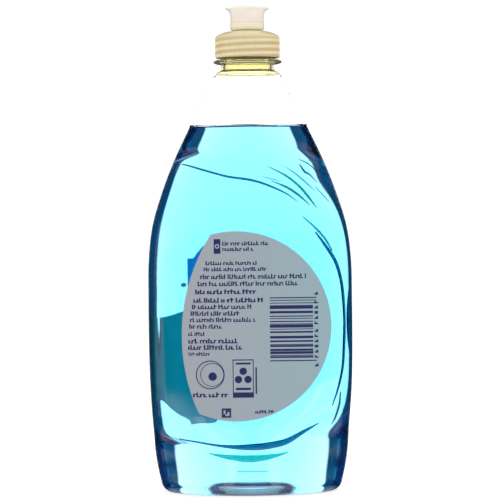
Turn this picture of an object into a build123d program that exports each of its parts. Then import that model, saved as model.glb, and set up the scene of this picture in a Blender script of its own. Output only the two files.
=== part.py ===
"""Dish soap bottle: a filled, clear blow-moulded bottle with a push-pull screw closure.

Millimetres, +Z up, origin under the middle of the standing ring. The back label faces -Y,
the front label faces +Y, and the bottle is widest along X.
"""
from build123d import *
from math import cos, pi, sin
import os

# Body before its rims are rounded, evenly spaced: height, half width, half depth, and the squareness
# of the -X half and of the +X half. Squareness is the exponent of the oval, and 2 is an ellipse.
BODY_STATIONS = [
    (0.0, 42.6, 21.4, 1.9, 1.9),
    (16.0, 46.0, 23.6, 1.92, 1.95),
    (32.0, 47.3, 24.6, 2.75, 2.6),
    (48.0, 48.3, 25.2, 3.0, 3.7),
    (64.0, 48.8, 25.4, 3.1, 5.0),
    (80.0, 48.95, 25.4, 3.1, 5.0),
    (96.0, 48.9, 25.35, 3.1, 5.0),
    (112.0, 48.6, 25.1, 3.1, 5.0),
    (128.0, 46.7, 24.6, 3.0, 4.0),
    (144.0, 42.0, 23.6, 3.0, 2.8),
    (160.0, 35.8, 22.1, 2.2, 2.15),
    (176.0, 28.2, 20.2, 1.9, 1.9),
    (190.0, 21.4, 17.7, 1.95, 1.95),
    (202.7, 14.8, 14.4, 2.0, 2.0),
]
WIDEST = 48.95
BASE_ROUNDING = 4.0
SHOULDER_ROUNDING = 2.3
SHOULDER_TOP = BODY_STATIONS[-1][0]
OVAL_POINTS = 24
WALL = 0.7

# Pushed-up base inside the standing ring.
PUSH_UP_WIDTH = 68.0
PUSH_UP_DEPTH = 30.0
PUSH_UP_RISE = 8.4

# Neck finish of the common 28 mm size.
NECK_RADIUS = 12.5
BORE_RADIUS = 10.9
NECK_TOP = 218.0
BEAD_BOTTOM = 205.6
BEAD_TOP = 208.4
BEAD_RADIUS = 16.4
BEAD_EDGE = 0.9

FILL_LEVEL = 176.5

# Closure: ribbed skirt, domed deck, sealing ring, spout and plug pin.
SKIRT_BOTTOM = 208.9
SKIRT_TOP = 219.4
SKIRT_RADIUS = 15.2
SKIRT_BORE = 13.95
RIB_COUNT = 96
RIB_HEIGHT = 0.35
RIB_WIDTH = 0.45
RIB_TOP = 218.6
RIB_SINK = 0.1  # how far a rib starts inside the skirt
DECK_BOTTOM = 218.3
DECK_TOP = 221.7
DECK_TOP_RADIUS = 8.3
DECK_CROWN = 0.72  # share of the deck's rise that is reached halfway in
SEAL_OUTER = 10.6
SEAL_INNER = 9.5
SEAL_DEPTH = 2.2
SPOUT_RADIUS = 6.0
SPOUT_BORE = 4.6
SPOUT_TOP = 230.4
SPOUT_BEAD = 0.5
SPOUT_BEAD_HEIGHT = 1.0
PIN_RADIUS = 1.9
PIN_TOP = 232.6
WEB_COUNT = 3
WEB_THICKNESS = 1.1
WEB_HEIGHT = 3.6
WEB_OVERLAP = 0.5

# Nozzle, pushed down and shut.
NOZZLE_BOTTOM = 222.0
NOZZLE_TOP = 233.2
NOZZLE_RADIUS = 8.1
NOZZLE_BORE = 6.9
NOZZLE_LIP_BORE = 6.3
NOZZLE_LIP_HEIGHT = 1.6
NOZZLE_GROOVE_HEIGHT = 225.8
NOZZLE_GROOVE = 0.25
NOZZLE_PLATE = 1.5
NOZZLE_ORIFICE = 2.2
FLANGE_RADIUS = 10.4
FLANGE_EDGE = 0.8
FLANGE_RISE = 3.6
FLARE_RISE = 1.26  # height of the flange's steep outer part
FLARE_REACH = 0.6
FLANGE_BREAK = (0.4, 0.2)  # chamfer of the flange's upper edge: radial, vertical
FOOT_BREAK = (0.6, 1.0)  # chamfer of the nozzle's foot: radial, vertical

# Labels: the back one is round on one side only, the front one has rounded corners.
FILM = 0.2
BACK_LABEL_HIGH_CORNER = (-17.9, 124.74)
BACK_LABEL_EDGE_MIDDLE = (-32.6, 74.0)
BACK_LABEL_LOW_CORNER = (-26.9, 41.25)
BACK_LABEL_FAR_SIDE = (38.3, 81.3)
FRONT_LABEL_WIDTH = 72.0
FRONT_LABEL_HEIGHT = 94.0
FRONT_LABEL_CORNER = 18.2
FRONT_LABEL_MIDDLE = 78.0


def oval(height, half_width, half_depth, left, right):
    """Closed smooth oval at a height."""
    points = []
    for step in range(OVAL_POINTS):
        turn = 2 * pi * step / OVAL_POINTS
        power = left if cos(turn) < 0 else right
        reach = (abs(cos(turn)) ** power + abs(sin(turn)) ** power) ** (-1 / power)
        points.append((half_width * reach * cos(turn), half_depth * reach * sin(turn), height))
    return Wire(Edge.make_spline(points, periodic=True))


def body_form(growth):
    """Solid body with every face moved outward by growth, or inward if that is negative."""
    stations = [list(station) for station in BODY_STATIONS]
    stations[0][0] -= growth
    stations[-1][0] += growth
    ovals = [oval(height, width + growth, depth + growth, *shape) for height, width, depth, *shape in stations]
    form = Solid.make_loft(ovals)
    form = fillet(form.edges().group_by(Axis.Z)[0], BASE_ROUNDING + growth)
    return fillet(form.edges().group_by(Axis.Z)[-1], SHOULDER_ROUNDING + growth)


def slab(low, high):
    """Block wider than the bottle, between two heights."""
    side = 4 * WIDEST
    return Pos(0, 0, (low + high) / 2) * Box(side, side, high - low)


def push_up(growth):
    """Dome that the base is pushed up around."""
    half_width = PUSH_UP_WIDTH / 2 + growth
    half_depth = PUSH_UP_DEPTH / 2 + growth
    return scale(Sphere(1), by=(half_width, half_depth, PUSH_UP_RISE + growth))


def turned(*outline):
    """Ring turned about +Z from straight sides through (radius, height) points."""
    return revolve(Plane.XZ * make_face(Polyline(*outline, close=True)), Axis.Z)


def bore_column(low, high):
    """Round column of the neck's bore."""
    return Pos(0, 0, (low + high) / 2) * Cylinder(BORE_RADIUS, high - low)


def cavity():
    """Space inside the bottle, from the floor to the neck's lip."""
    hollow = body_form(-WALL) - push_up(WALL)
    return hollow + bore_column(SHOULDER_TOP - 3 * WALL, NECK_TOP + WALL)


def neck():
    """Neck cylinder and the transfer bead, before the bore is cut."""
    slope = (BEAD_TOP - BEAD_BOTTOM - BEAD_EDGE) / 2
    return turned(
        (0, SHOULDER_TOP - WALL),
        (NECK_RADIUS, SHOULDER_TOP - WALL),
        (NECK_RADIUS, BEAD_BOTTOM),
        (BEAD_RADIUS, BEAD_BOTTOM + slope),
        (BEAD_RADIUS, BEAD_BOTTOM + slope + BEAD_EDGE),
        (NECK_RADIUS, BEAD_TOP),
        (NECK_RADIUS, NECK_TOP),
        (0, NECK_TOP),
    )


def bottle(space):
    """Blown shell around the cavity, with the neck and the pushed-up base."""
    return body_form(0) + neck() - push_up(0) - space


def soap(space):
    """Liquid that fills the cavity to the fill level."""
    return space & slab(0, FILL_LEVEL)


def deck():
    """Domed deck of the closure with the sealing ring under it and the spout on it."""
    return turned(
        (SPOUT_BORE, DECK_BOTTOM),
        (SEAL_INNER, DECK_BOTTOM),
        (SEAL_INNER, DECK_BOTTOM - SEAL_DEPTH),
        (SEAL_OUTER, DECK_BOTTOM - SEAL_DEPTH),
        (SEAL_OUTER, DECK_BOTTOM),
        (SKIRT_BORE, DECK_BOTTOM),
        (SKIRT_BORE, SKIRT_BOTTOM),
        (SKIRT_RADIUS, SKIRT_BOTTOM),
        (SKIRT_RADIUS, SKIRT_TOP),
        ((SKIRT_RADIUS + DECK_TOP_RADIUS) / 2, SKIRT_TOP + DECK_CROWN * (DECK_TOP - SKIRT_TOP)),
        (DECK_TOP_RADIUS, DECK_TOP),
        (SPOUT_RADIUS, DECK_TOP),
        (SPOUT_RADIUS, SPOUT_TOP - SPOUT_BEAD_HEIGHT),
        (SPOUT_RADIUS + SPOUT_BEAD, SPOUT_TOP - SPOUT_BEAD_HEIGHT / 2),
        (SPOUT_RADIUS, SPOUT_TOP),
        (SPOUT_BORE, SPOUT_TOP),
    )


def ribs():
    """Grip ribs around the skirt."""
    middle = SKIRT_RADIUS + (RIB_HEIGHT - RIB_SINK) / 2
    section = PolarLocations(middle, RIB_COUNT) * Rectangle(RIB_HEIGHT + RIB_SINK, RIB_WIDTH)
    return Pos(0, 0, SKIRT_BOTTOM) * extrude(Sketch() + section, RIB_TOP - SKIRT_BOTTOM)


def plug_pin():
    """Centre pin that shuts the nozzle, on webs across the spout's foot."""
    low = DECK_BOTTOM
    pin = Pos(0, 0, (low + PIN_TOP) / 2) * Cylinder(PIN_RADIUS, PIN_TOP - low)
    reach = (PIN_RADIUS + SPOUT_BORE) / 2
    length = SPOUT_BORE - PIN_RADIUS + 2 * WEB_OVERLAP
    arm = Pos(reach, 0, low + WEB_HEIGHT / 2) * Box(length, WEB_THICKNESS, WEB_HEIGHT)
    for web in range(WEB_COUNT):
        pin = pin + Rot(0, 0, 360 * web / WEB_COUNT) * arm
    return pin


def closure():
    """Screw closure moulded in one piece."""
    return deck() + ribs() + plug_pin()


def nozzle():
    """Push-pull nozzle with its wide finger flange."""
    plate_bottom = NOZZLE_TOP - NOZZLE_PLATE
    groove_low = NOZZLE_GROOVE_HEIGHT - NOZZLE_GROOVE
    groove_high = NOZZLE_GROOVE_HEIGHT + NOZZLE_GROOVE
    return turned(
        (NOZZLE_LIP_BORE, NOZZLE_BOTTOM),
        (NOZZLE_RADIUS - FOOT_BREAK[0], NOZZLE_BOTTOM),
        (NOZZLE_RADIUS, NOZZLE_BOTTOM + FOOT_BREAK[1]),
        (NOZZLE_RADIUS, groove_low),
        (NOZZLE_RADIUS - NOZZLE_GROOVE, NOZZLE_GROOVE_HEIGHT),
        (NOZZLE_RADIUS, groove_high),
        (NOZZLE_RADIUS, NOZZLE_TOP - FLANGE_EDGE - FLANGE_RISE),
        (NOZZLE_RADIUS + FLARE_REACH, NOZZLE_TOP - FLANGE_EDGE - FLARE_RISE),
        (FLANGE_RADIUS, NOZZLE_TOP - FLANGE_EDGE),
        (FLANGE_RADIUS, NOZZLE_TOP - FLANGE_BREAK[1]),
        (FLANGE_RADIUS - FLANGE_BREAK[0], NOZZLE_TOP),
        (NOZZLE_ORIFICE, NOZZLE_TOP),
        (NOZZLE_ORIFICE, plate_bottom),
        (NOZZLE_BORE, plate_bottom),
        (NOZZLE_BORE, NOZZLE_BOTTOM + NOZZLE_LIP_HEIGHT),
        (NOZZLE_LIP_BORE, NOZZLE_BOTTOM + NOZZLE_LIP_HEIGHT),
    )


def back_label(skin):
    """Film on the face at -Y, with its round edge at +X."""
    high, low = BACK_LABEL_HIGH_CORNER, BACK_LABEL_LOW_CORNER
    round_edge = ThreePointArc(high, BACK_LABEL_FAR_SIDE, low)
    outline = make_face([round_edge, ThreePointArc(low, BACK_LABEL_EDGE_MIDDLE, high)])
    return skin & extrude(Plane.XZ * outline, WIDEST)


def front_label(skin):
    """Film on the face at +Y."""
    outline = RectangleRounded(FRONT_LABEL_WIDTH, FRONT_LABEL_HEIGHT, FRONT_LABEL_CORNER)
    return skin & extrude(Plane.XZ * Pos(0, FRONT_LABEL_MIDDLE) * outline, -WIDEST)


def build():
    """Every piece by its name."""
    space = cavity()
    skin = body_form(FILM) - body_form(0)
    return {
        "bottle": bottle(space),
        "soap": soap(space),
        "closure": closure(),
        "nozzle": nozzle(),
        "back_label": back_label(skin),
        "front_label": front_label(skin),
    }


os.makedirs("parts", exist_ok=True)
for name, shape in build().items():
    export_step(shape, f"parts/{name}.step")
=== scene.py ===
import math
import random

import bpy
import numpy as np
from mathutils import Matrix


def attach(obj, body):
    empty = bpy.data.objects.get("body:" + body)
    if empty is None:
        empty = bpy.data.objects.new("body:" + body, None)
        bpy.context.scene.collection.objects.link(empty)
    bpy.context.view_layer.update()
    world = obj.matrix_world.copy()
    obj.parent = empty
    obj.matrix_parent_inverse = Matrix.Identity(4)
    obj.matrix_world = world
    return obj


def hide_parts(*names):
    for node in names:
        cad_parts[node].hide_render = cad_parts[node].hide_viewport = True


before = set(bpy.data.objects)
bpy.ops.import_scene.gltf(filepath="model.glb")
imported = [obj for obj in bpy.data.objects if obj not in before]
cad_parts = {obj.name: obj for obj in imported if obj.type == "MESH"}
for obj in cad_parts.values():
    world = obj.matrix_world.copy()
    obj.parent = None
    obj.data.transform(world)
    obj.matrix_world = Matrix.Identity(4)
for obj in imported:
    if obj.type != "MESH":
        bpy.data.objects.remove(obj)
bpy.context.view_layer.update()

# ---------------------------------------------------------------------------------------------
# Bottle: one piece of clear PET, stretch-blown in a mould. The oval body rounds into a standing
# ring around a pushed-up base, and a thick injection-moulded neck carries the transfer bead and
# the thread. Raised lines from the mould frame the panel where the labels go.
# ---------------------------------------------------------------------------------------------
MM = 0.001
BODY_STATIONS = np.array([  # height, half width, half depth
    (0.0, 42.6, 21.4), (16.0, 46.0, 23.6), (32.0, 47.3, 24.6), (48.0, 48.3, 25.2), (64.0, 48.8, 25.4),
    (80.0, 48.95, 25.4), (96.0, 48.9, 25.35), (112.0, 48.6, 25.1), (128.0, 46.7, 24.6), (144.0, 42.0, 23.6),
    (160.0, 35.8, 22.1), (176.0, 28.2, 20.2), (190.0, 21.4, 17.7), (202.7, 14.8, 14.4)])
SHOULDER_TOP = 202.7
BASE_ROUNDING, SHOULDER_ROUNDING = 4.0, 2.3
WALL = 0.7
SQUARENESS_LEFT = [  # height, exponent of the -X half
    (0, 1.9), (12, 1.72), (23, 1.72), (37, 2.9), (60, 3.1), (150, 3.0), (164, 1.8), (203, 1.85)]
SQUARENESS_RIGHT = [
    (0, 1.9), (12, 1.76), (24, 1.78), (60, 5.0), (112, 5.0), (152, 2.3), (166, 1.76), (203, 1.8)]
PUSH_UP_HALF_WIDTH, PUSH_UP_HALF_DEPTH = 34.0, 15.0
PUSH_UP_STEPS = [  # share of the ring's half width, rise
    (1.0, 0.0), (0.985, 0.3), (0.95, 0.7), (0.88, 1.1), (0.8, 1.4), (0.7, 1.75), (0.63, 2.0), (0.58, 2.5),
    (0.54, 3.4), (0.5, 4.3), (0.42, 5.1), (0.3, 5.6), (0.15, 5.9)]
PUSH_UP_RISE = 6.0
NECK_RADIUS, BORE_RADIUS, NECK_TOP = 12.5, 10.9, 218.0
BEAD = [(12.5, 205.6), (15.2, 206.1), (16.2, 206.5), (16.4, 206.95), (16.2, 207.4), (15.2, 207.8), (12.5, 208.4)]
NECK_OUTSIDE = [(13.1, 202.75), (12.65, 203.1), (NECK_RADIUS, 203.8)] + BEAD + [  # radius, height
    (NECK_RADIUS, 212.0), (NECK_RADIUS, NECK_TOP - 0.5), (12.0, NECK_TOP)]
NECK_INSIDE = [
    (11.4, NECK_TOP), (BORE_RADIUS, NECK_TOP - 0.5), (BORE_RADIUS, 204.0), (BORE_RADIUS, 202.6), (11.3, 202.0)]
INNER_FOOT = [4.5, 3.2, 2.2, 1.5, 1.0, 0.7]  # heights of the inside's lowest ovals
INNER_FOOT_INSETS = np.array([0.22, 0.66])  # how far the last two of them draw in
AROUND = 256
SHARP_ANGLE = math.radians(38)


def bend(t, start, end, start_slope, end_slope):
    """Cubic Hermite piece from one value to the next."""
    return ((2 * t ** 3 - 3 * t ** 2 + 1) * start + (t ** 3 - 2 * t ** 2 + t) * start_slope
            + (3 * t ** 2 - 2 * t ** 3) * end + (t ** 3 - t ** 2) * end_slope)


def between(heights, column):
    """Smooth curve through the body's stations."""
    z, v = BODY_STATIONS[:, 0], BODY_STATIONS[:, column]
    slope = np.gradient(v, z)
    i = np.clip(np.searchsorted(z, heights) - 1, 0, len(z) - 2)
    step = z[i + 1] - z[i]
    t = (heights - z[i]) / step
    return bend(t, v[i], v[i + 1], step * slope[i], step * slope[i + 1])


def squareness(heights, x):
    """Exponent of the oval: round at the foot and the shoulder, squarer over the label panel."""
    sides = []
    for knots in (SQUARENESS_LEFT, SQUARENESS_RIGHT):
        z, exponent = np.array(knots, float).T
        i = np.clip(np.searchsorted(z, heights) - 1, 0, len(z) - 2)
        t = np.clip((heights - z[i]) / (z[i + 1] - z[i]), 0, 1)
        sides.append(exponent[i] + (exponent[i + 1] - exponent[i]) * t * t * (3 - 2 * t))
    return np.where(np.asarray(x) < 0, *sides)


def half_sizes(heights, inset=0.0):
    """Half width and half depth of the body's outside at some heights, less an inset."""
    heights = np.asarray(heights, float)
    low = np.clip(BASE_ROUNDING - heights, 0, BASE_ROUNDING)
    high = np.clip(SHOULDER_ROUNDING - (SHOULDER_TOP - heights), 0, SHOULDER_ROUNDING)
    cut = BASE_ROUNDING - np.sqrt(BASE_ROUNDING ** 2 - low ** 2)
    cut = cut + SHOULDER_ROUNDING - np.sqrt(SHOULDER_ROUNDING ** 2 - high ** 2)
    inside = np.clip(heights, 0, SHOULDER_TOP)
    return between(inside, 1) - cut - inset, between(inside, 2) - cut - inset


def ring(half_width, half_depth, height, power=None):
    """Points of one oval."""
    turn = np.linspace(0, 2 * math.pi, AROUND, endpoint=False)
    c, s = np.cos(turn), np.sin(turn)
    power = squareness(height, c) if power is None else power
    reach = (np.abs(c) ** power + np.abs(s) ** power) ** (-1 / power)
    return np.stack([half_width * reach * c, half_depth * reach * s, np.full(AROUND, height)], 1)


def body_rings(heights, inset=0.0):
    """Ovals of the body at some heights."""
    widths, depths = half_sizes(heights, inset)
    return [ring(w, d, z) for w, d, z in zip(widths, depths, heights)]


def push_up_rings(inset=0.0):
    """Ovals of the pushed-up base, from its edge to near its top."""
    width, depth = PUSH_UP_HALF_WIDTH + inset, PUSH_UP_HALF_DEPTH + inset
    return [ring(width * share, depth * share, rise + inset, 2.0) for share, rise in PUSH_UP_STEPS]


def rings_to_mesh(rings, first_pole=None, last_pole=None):
    """Vertices and faces of a skin over rings, closed at its ends by poles where given."""
    count = len(rings[0])
    verts = [point for points in rings for point in points]
    faces = []
    for row in range(len(rings) - 1):
        for k in range(count):
            a, b = row * count + k, row * count + (k + 1) % count
            faces.append((a, b, b + count, a + count))
    if first_pole is not None:
        verts.append(first_pole)
        faces += [((k + 1) % count, k, len(verts) - 1) for k in range(count)]
    if last_pole is not None:
        verts.append(last_pole)
        start = (len(rings) - 1) * count
        faces += [(start + k, start + (k + 1) % count, len(verts) - 1) for k in range(count)]
    return verts, faces


def outward(verts, faces):
    """Faces of a closed shell, turned if need be so that they point outward."""
    points = np.asarray(verts, float)
    corners = np.array([(f[0], f[k], f[k + 1]) for f in faces for k in range(1, len(f) - 1)])
    a, b, c = (points[corners[:, k]] for k in range(3))
    volume = np.einsum("ij,ij->", a - points[0], np.cross(b - points[0], c - points[0]))
    return faces if volume > 0 else [f[::-1] for f in faces]


def new_piece(name, parts, materials):
    """Object from (vertices in millimetres, faces, material index, smooth) parts, with its faces outward."""
    verts, faces, slots, smooth = [], [], [], []
    for part_verts, part_faces, slot, part_smooth in parts:
        offset = len(verts)
        smooth += [part_smooth] * len(part_faces)
        verts += [tuple(float(c) * MM for c in v) for v in part_verts]
        faces += [tuple(i + offset for i in f) for f in outward(part_verts, part_faces)]
        slots += [slot] * len(part_faces)
    mesh = bpy.data.meshes.new(name)
    mesh.from_pydata(verts, [], faces)
    for material in materials:
        mesh.materials.append(material)
    mesh.polygons.foreach_set("material_index", slots)
    mesh.polygons.foreach_set("use_smooth", smooth)
    mesh.set_sharp_from_angle(angle=SHARP_ANGLE)
    mesh.update()
    piece = bpy.data.objects.new(name, mesh)
    bpy.context.collection.objects.link(piece)
    return piece


def face_depth(x, z):
    """Distance of the body's outside from the X axis plane, at a point of a broad face."""
    width, depth = half_sizes(z)
    power = squareness(z, x)
    return depth * np.maximum(1 - np.abs(x / width) ** power, 1e-6) ** (1 / power)


def smooth_line(points, fine):
    """Smooth curve through a few points, as many points as asked for."""
    points = np.array(points, float)
    slope = np.gradient(points, axis=0)
    along = np.linspace(0, len(points) - 1, fine)
    i = np.minimum(along.astype(int), len(points) - 2)
    t = (along - i)[:, None]
    return bend(t, points[i], points[i + 1], slope[i], slope[i + 1])


LINE_SECTION = [  # share of a mould line's width across, and of its rise
    (-0.5, 0.0), (-0.38, 0.5), (-0.2, 0.86), (0.0, 1.0), (0.2, 0.86), (0.38, 0.5), (0.5, 0.0)]
LEAST_WIDTH, ROOT_DEPTH = 0.06, 0.08


def ridge(points, steepness, fine=64):
    """Raised mould line over the back, through (x, z, width) points, rooted a little in the wall."""
    x, z, width = smooth_line(points, fine).T
    width = np.maximum(width, LEAST_WIDTH)
    depth, step = face_depth(x, z), 0.05
    spot = np.stack([x, -depth, z], 1)
    in_x = np.stack([np.full(fine, step), depth - face_depth(x + step, z), np.zeros(fine)], 1)
    in_z = np.stack([np.zeros(fine), depth - face_depth(x, z + step), np.full(fine, step)], 1)
    normal = np.cross(in_x, in_z)
    normal /= np.linalg.norm(normal, axis=1)[:, None]
    tangent = np.gradient(spot, axis=0)
    tangent /= np.linalg.norm(tangent, axis=1)[:, None]
    across = np.cross(tangent, normal)
    rings = [[spot[k] + across[k] * u * width[k] + normal[k] * (v * width[k] * steepness - ROOT_DEPTH)
              for u, v in LINE_SECTION] for k in range(fine)]
    verts, faces = rings_to_mesh(rings)
    faces.append(tuple(range(len(LINE_SECTION)))[::-1])
    faces.append(tuple(range(len(verts) - len(LINE_SECTION), len(verts))))
    return verts, faces


def thread(turns, pitch, radius, low, deep, wide, fine=72):
    """Helical ridge on the neck, fading in and out at its ends."""
    count = int(turns * fine)
    section = [(-0.3, -0.5), (1, -0.2), (1, 0.2), (-0.3, 0.5)]  # share of the depth, share of the width
    rings = []
    for k in range(count + 1):
        turn = 2 * math.pi * k / fine
        rise = low + pitch * k / fine
        depth = deep * max(min(1.0, 6 * k / count, 6 * (count - k) / count), 0.05)
        rings.append([((radius + u * depth) * math.cos(turn), (radius + u * depth) * math.sin(turn), rise + v * wide)
                      for u, v in section])
    verts, faces = rings_to_mesh(rings)
    faces.append((3, 2, 1, 0))
    faces.append(tuple(range(len(verts) - 4, len(verts))))
    return verts, faces


def srgb(code):
    """Linear colour of an sRGB hex value."""
    parts = [int(code[i:i + 2], 16) / 255 for i in (1, 3, 5)]
    return [p / 12.92 if p <= 0.04045 else ((p + 0.055) / 1.055) ** 2.4 for p in parts] + [1.0]


def add(tree, kind, inputs=None, **settings):
    """Adds a node with its settings, its input values and its links."""
    made = tree.nodes.new(kind)
    for name, value in settings.items():
        setattr(made, name, value)
    for name, value in (inputs or {}).items():
        if isinstance(value, bpy.types.NodeSocket):
            tree.links.new(value, made.inputs[name])
        else:
            made.inputs[name].default_value = value
    return made


def new_material(name):
    """Empty material and its output node."""
    material = bpy.data.materials.new(name)
    material.use_nodes = True
    material.node_tree.nodes.clear()
    return material, material.node_tree, add(material.node_tree, "ShaderNodeOutputMaterial")


side_heights = np.concatenate([BASE_ROUNDING * (1 - np.cos(np.linspace(0, math.pi / 2, 9))),
                               np.arange(5.0, 200.0, 1.0),
                               SHOULDER_TOP - SHOULDER_ROUNDING * np.cos(np.linspace(0, math.pi / 2, 8))])
outside = push_up_rings()[::-1] + body_rings(side_heights)
inner_heights = np.concatenate([[201.7, 201.0], np.arange(199.0, 6.0, -2.5), INNER_FOOT])
inner_widths, inner_depths = half_sizes(inner_heights, WALL)
inner_widths[-2:] -= INNER_FOOT_INSETS
inner_depths[-2:] -= INNER_FOOT_INSETS
neck_rings = [ring(radius, radius, height, 2.0) for radius, height in NECK_OUTSIDE + NECK_INSIDE]
inside = [ring(w, d, z) for w, d, z in zip(inner_widths, inner_depths, inner_heights)] + push_up_rings(WALL)
bottle_skin = rings_to_mesh(outside + neck_rings + inside, (0, 0, PUSH_UP_RISE), (0, 0, PUSH_UP_RISE + WALL))

# Raised mould lines of the back: how steep each is, how strongly painted shade tints the PET along it, then its points
# as x, z and width.
MOULD_LINES = [
    (0.28, 1.0, [(-31.8, 158.2, 0.5), (-28.6, 157.4, 0.8), (-19.4, 154.6, 1.0), (-9.9, 152.0, 1.0),
                (0.2, 150.4, 1.1), (7.8, 148.2, 1.0), (17.3, 143.9, 0.7), (23.0, 139.8, 0.2)]),
    (0.28, 0.7, [(8.7, 156.8, 0.27), (17.3, 152.3, 0.94), (23.6, 147.3, 1.22), (27.9, 142.3, 1.22),
                (32.1, 136.6, 0.27)]),
    (0.28, 0.5, [(16.1, 157.1, 0.14), (22.2, 153.0, 0.68), (27.9, 148.0, 0.68), (32.1, 144.2, 0.14)]),
    (0.28, 0.5, [(31.2, 147.1, 0.27), (35.0, 143.0, 0.68), (38.5, 139.0, 0.27)]),
    (0.28, 0.3, [(5.9, 152.0, 0.14), (11.0, 150.6, 0.54), (16.1, 149.2, 0.14)]),
    (0.28, 0.8, [(10.4, 149.9, 0.27), (18.0, 146.6, 1.08), (23.6, 142.8, 1.08), (28.8, 138.1, 0.27)]),
    (0.28, 1.0, [(24.1, 157.6, 0.6), (26.5, 154.0, 1.2), (29.0, 152.5, 0.8), (32.6, 148.5, 0.3)]),
    (0.28, 0.7, [(24.0, 159.8, 0.41), (28.5, 157.6, 0.81), (33.0, 153.4, 0.41)]),
    (0.28, 0.6, [(25.3, 132.8, 0.41), (31.2, 127.4, 0.94), (35.7, 122.2, 1.08), (39.0, 116.5, 0.68)]),
    (0.28, 1.0, [(31.2, 125.5, 0.7), (36.6, 117.9, 1.5), (40.6, 111.3, 1.7), (43.0, 103.2, 1.7), (44.1, 94.5, 1.8),
                (44.6, 84.0, 1.6), (44.4, 74.0, 1.8), (43.6, 62.0, 1.5), (41.5, 52.0, 1.2), (38.5, 43.0, 0.5)]),
    (0.28, 1.0, [(46.9, 99.0, 0.3), (46.5, 90.0, 2.2), (46.4, 82.0, 2.6), (46.6, 74.0, 2.0), (47.1, 66.0, 0.3)]),
    (0.28, 0.9, [(42.5, 49.6, 0.68), (41.8, 43.0, 1.22), (40.0, 37.0, 1.35), (38.2, 33.6, 0.54)]),
    (0.3, 1.0, [(-34.5, 27.4, 0.8), (-24.6, 26.0, 1.0), (-16.5, 24.8, 1.2), (-8.0, 24.1, 2.0), (0.28, 24.1, 3.0),
                (7.6, 24.6, 3.2), (16.5, 26.4, 3.0), (25.5, 31.2, 1.9), (32.1, 34.8, 0.4)]),
    (0.14, 0.4, [(-20.3, 20.8, 0.4), (-12.0, 19.4, 2.0), (-2.0, 18.5, 3.3), (8.0, 19.2, 2.5), (17.5, 21.1, 0.4)]),
]
bottle_parts = [(*bottle_skin, 0, True)]
# Painted shade per point: how deeply the PET's colour is tinted along each mould line and dot.
painted_shade_strengths = [0.0] * len(bottle_skin[0])
for steepness, strength, points in MOULD_LINES:
    line = ridge(points, steepness)
    painted_shade_strengths += [strength] * len(line[0])
    bottle_parts.append((*line, 0, False))

# A row of raised dots near the foot marks the mould, the PET over them tinted as painted shade.
DOT_ROW, DOT_HEIGHT, DOT_RADIUS = np.linspace(-6.3, 6.9, 11), 12.35, 0.42
for middle in DOT_ROW:
    depth = float(face_depth(middle, DOT_HEIGHT))
    turn = np.linspace(0, 2 * math.pi, 10, endpoint=False)
    rings = [[(middle + r * math.cos(t), -depth - out, DOT_HEIGHT + r * math.sin(t)) for t in turn]
             for r, out in ((DOT_RADIUS, -0.1), (DOT_RADIUS * 0.8, 0.16))]
    dot = rings_to_mesh(rings, (middle, -depth + 0.1, DOT_HEIGHT), (middle, -depth - 0.26, DOT_HEIGHT))
    painted_shade_strengths += [0.35] * len(dot[0])
    bottle_parts.append((*dot, 0, True))

screw_thread = thread(turns=2.2, pitch=3.1, radius=NECK_RADIUS, low=210.4, deep=1.1, wide=1.5)
painted_shade_strengths += [0.0] * len(screw_thread[0])
bottle_parts.append((*screw_thread, 0, True))

# Clear PET: hard, glassy and colourless, its wall a little wavy over about 17 mm. Along each mould line
# its colour is painted deep teal, painted shade for the light that the line bends away.
pet, tree, out = new_material("clear blown PET")
place = add(tree, "ShaderNodeTexCoord")
# Painted shade: each point's strength picks a deep teal from the ramp, white where there is no line.
strength = add(tree, "ShaderNodeAttribute", attribute_name="painted_shade_strength")
painted_line_shade = add(tree, "ShaderNodeValToRGB", {"Fac": strength.outputs["Fac"]})
painted_line_shade.color_ramp.elements[0].color = srgb("#FFFFFF")
painted_line_shade.color_ramp.elements[1].color = srgb("#006C88")
painted_line_shade.color_ramp.elements.new(0.35).color = srgb("#30C4B0")
painted_line_shade.color_ramp.elements.new(0.8).color = srgb("#0C8676")
waver = add(tree, "ShaderNodeTexNoise", {"Vector": place.outputs["Object"], "Scale": 1 / (16.67 * MM), "Detail": 1.0})
ripple = add(tree, "ShaderNodeBump", {"Height": waver.outputs["Fac"], "Strength": 0.06, "Distance": 0.3 * MM})
shader = add(tree, "ShaderNodeBsdfPrincipled", {
    "Base Color": painted_line_shade.outputs[0], "Roughness": 0.02, "IOR": 1.575, "Transmission Weight": 1.0,
    "Normal": ripple.outputs["Normal"]})
tree.links.new(shader.outputs[0], out.inputs["Surface"])

# The neck isn't stretched, so its PET is thick, slightly hazy over about 8 mm and straw coloured.
neck_pet, tree, out = new_material("thick moulded PET")
place = add(tree, "ShaderNodeTexCoord")
haze = add(tree, "ShaderNodeTexNoise", {"Vector": place.outputs["Object"], "Scale": 1 / (8.33 * MM), "Detail": 2.0})
gloss = add(tree, "ShaderNodeMapRange", {"Value": haze.outputs["Fac"], "To Min": 0.02, "To Max": 0.06})
shader = add(tree, "ShaderNodeBsdfPrincipled", {
    "Base Color": srgb("#F8F1C0"), "Roughness": gloss.outputs[0], "IOR": 1.575, "Transmission Weight": 0.9})
tree.links.new(shader.outputs[0], out.inputs["Surface"])
NECK_PET_FROM = 200.6

bottle = new_piece("bottle_blown", bottle_parts, [pet, neck_pet])
# Strength of the painted shade at each point, read by the PET's colour.
line_data = bottle.data.attributes.new("painted_shade_strength", "FLOAT", "POINT")
line_data.data.foreach_set("value", painted_shade_strengths)
for face in bottle.data.polygons:
    if face.center.z > NECK_PET_FROM * MM:
        face.material_index = 1
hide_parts("bottle")
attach(bottle, "bottle_body")

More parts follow.
